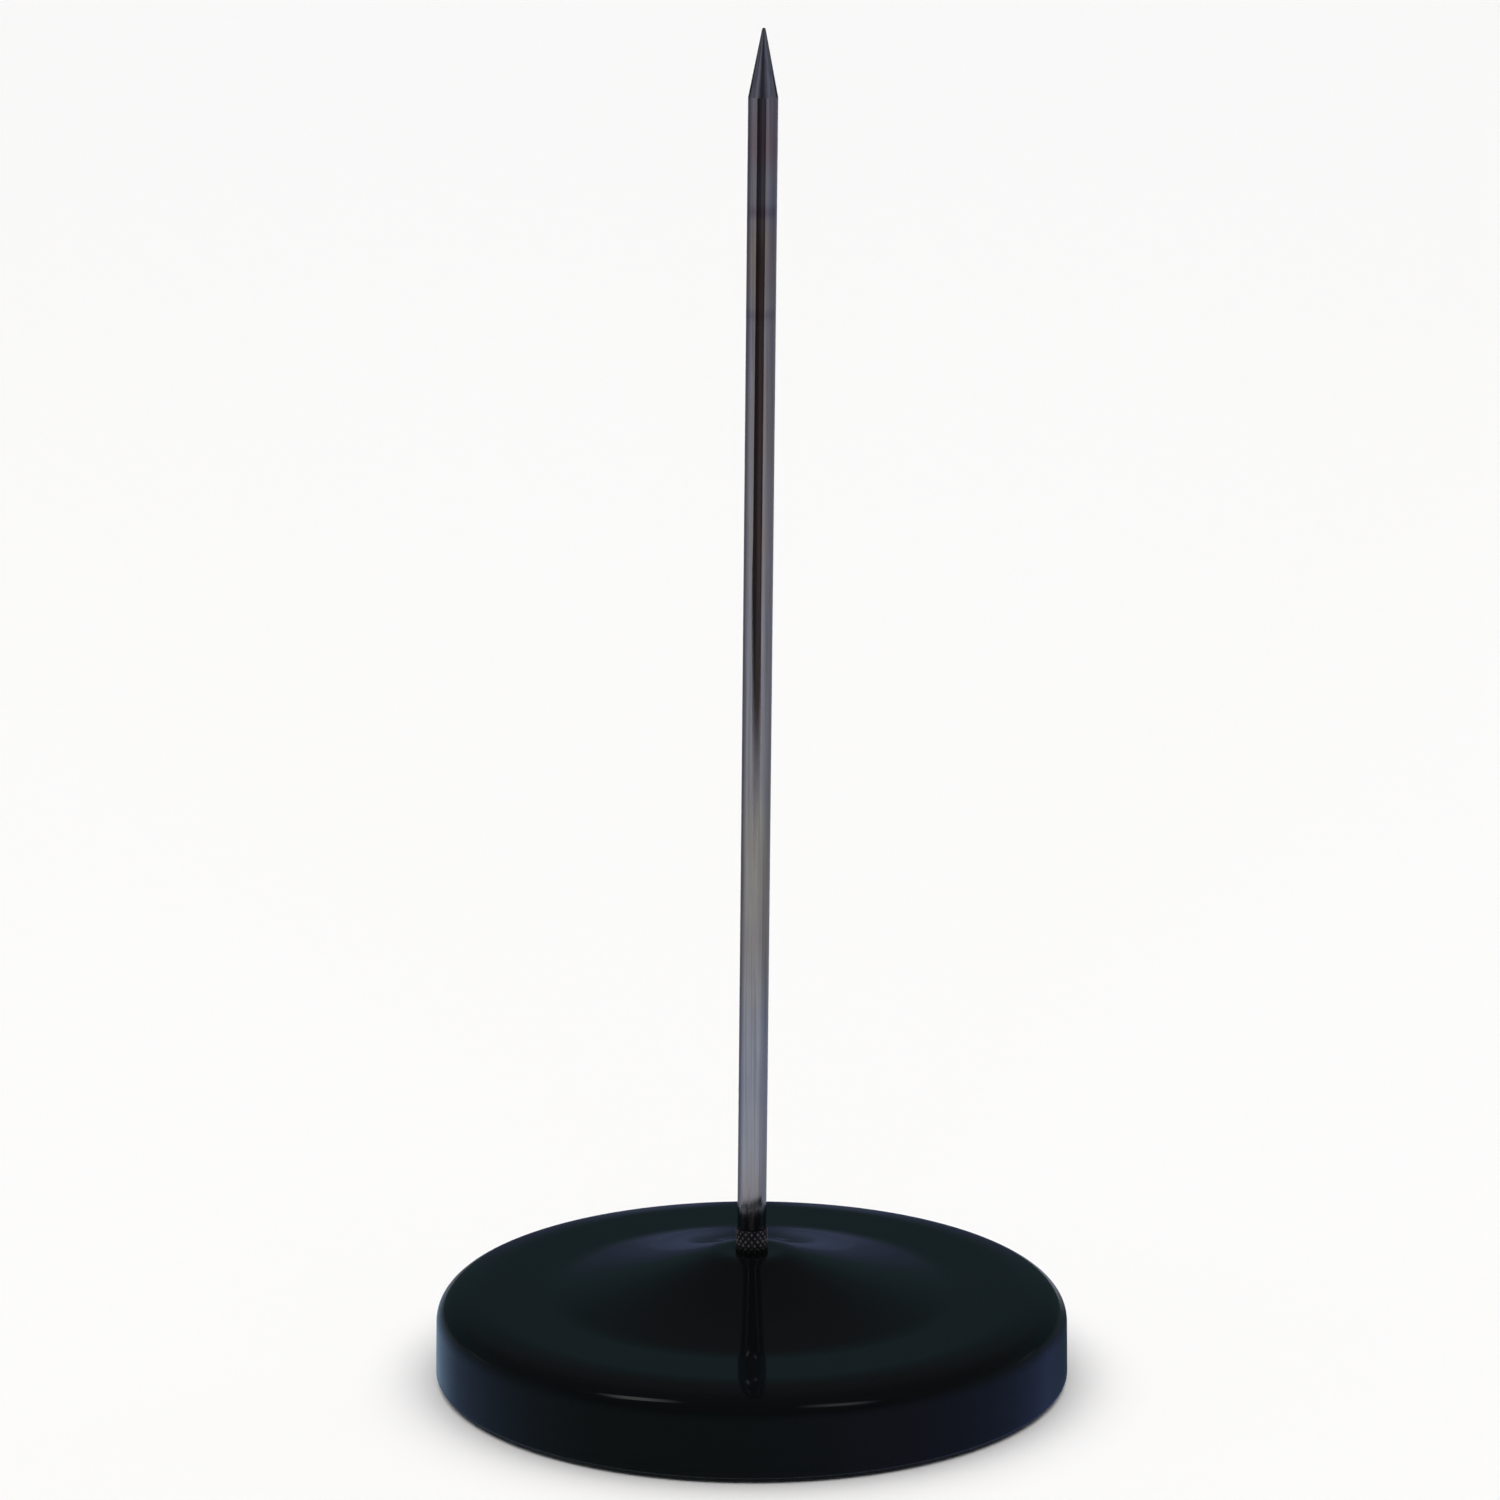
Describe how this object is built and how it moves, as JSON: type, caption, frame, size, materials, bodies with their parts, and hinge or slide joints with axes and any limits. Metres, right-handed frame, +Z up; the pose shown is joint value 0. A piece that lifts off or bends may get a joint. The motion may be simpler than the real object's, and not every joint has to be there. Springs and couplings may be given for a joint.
{
  "type": "bill spike",
  "caption": "Desk bill spike: a pointed steel rod with a knurled foot stands on a round weighted base with a low hollow-sided boss, in black enamel, over a felt pad.",
  "frame": {"origin": "centre of the underside, on the desk", "axes": "+Z up through the middle of the base, -Y towards the viewer of the picture"},
  "size_m": [0.088, 0.088, 0.187],
  "materials": {
    "black_enamel": "gloss black stove enamel on pressed steel",
    "drawn_steel": "drawn steel, handled and slightly dulled",
    "cast_iron": "as cast, dull",
    "zinc_plate": "bright zinc plate",
    "felt": "pressed wool felt"
  },
  "bodies": {
    "root": {"base_shell": "black_enamel", "spike": "drawn_steel", "ballast_weight": "cast_iron", "plain_washer": "zinc_plate", "spring_washer": "zinc_plate", "hex_nut": "zinc_plate", "felt_pad": "felt"}
  },
  "joints": []
}
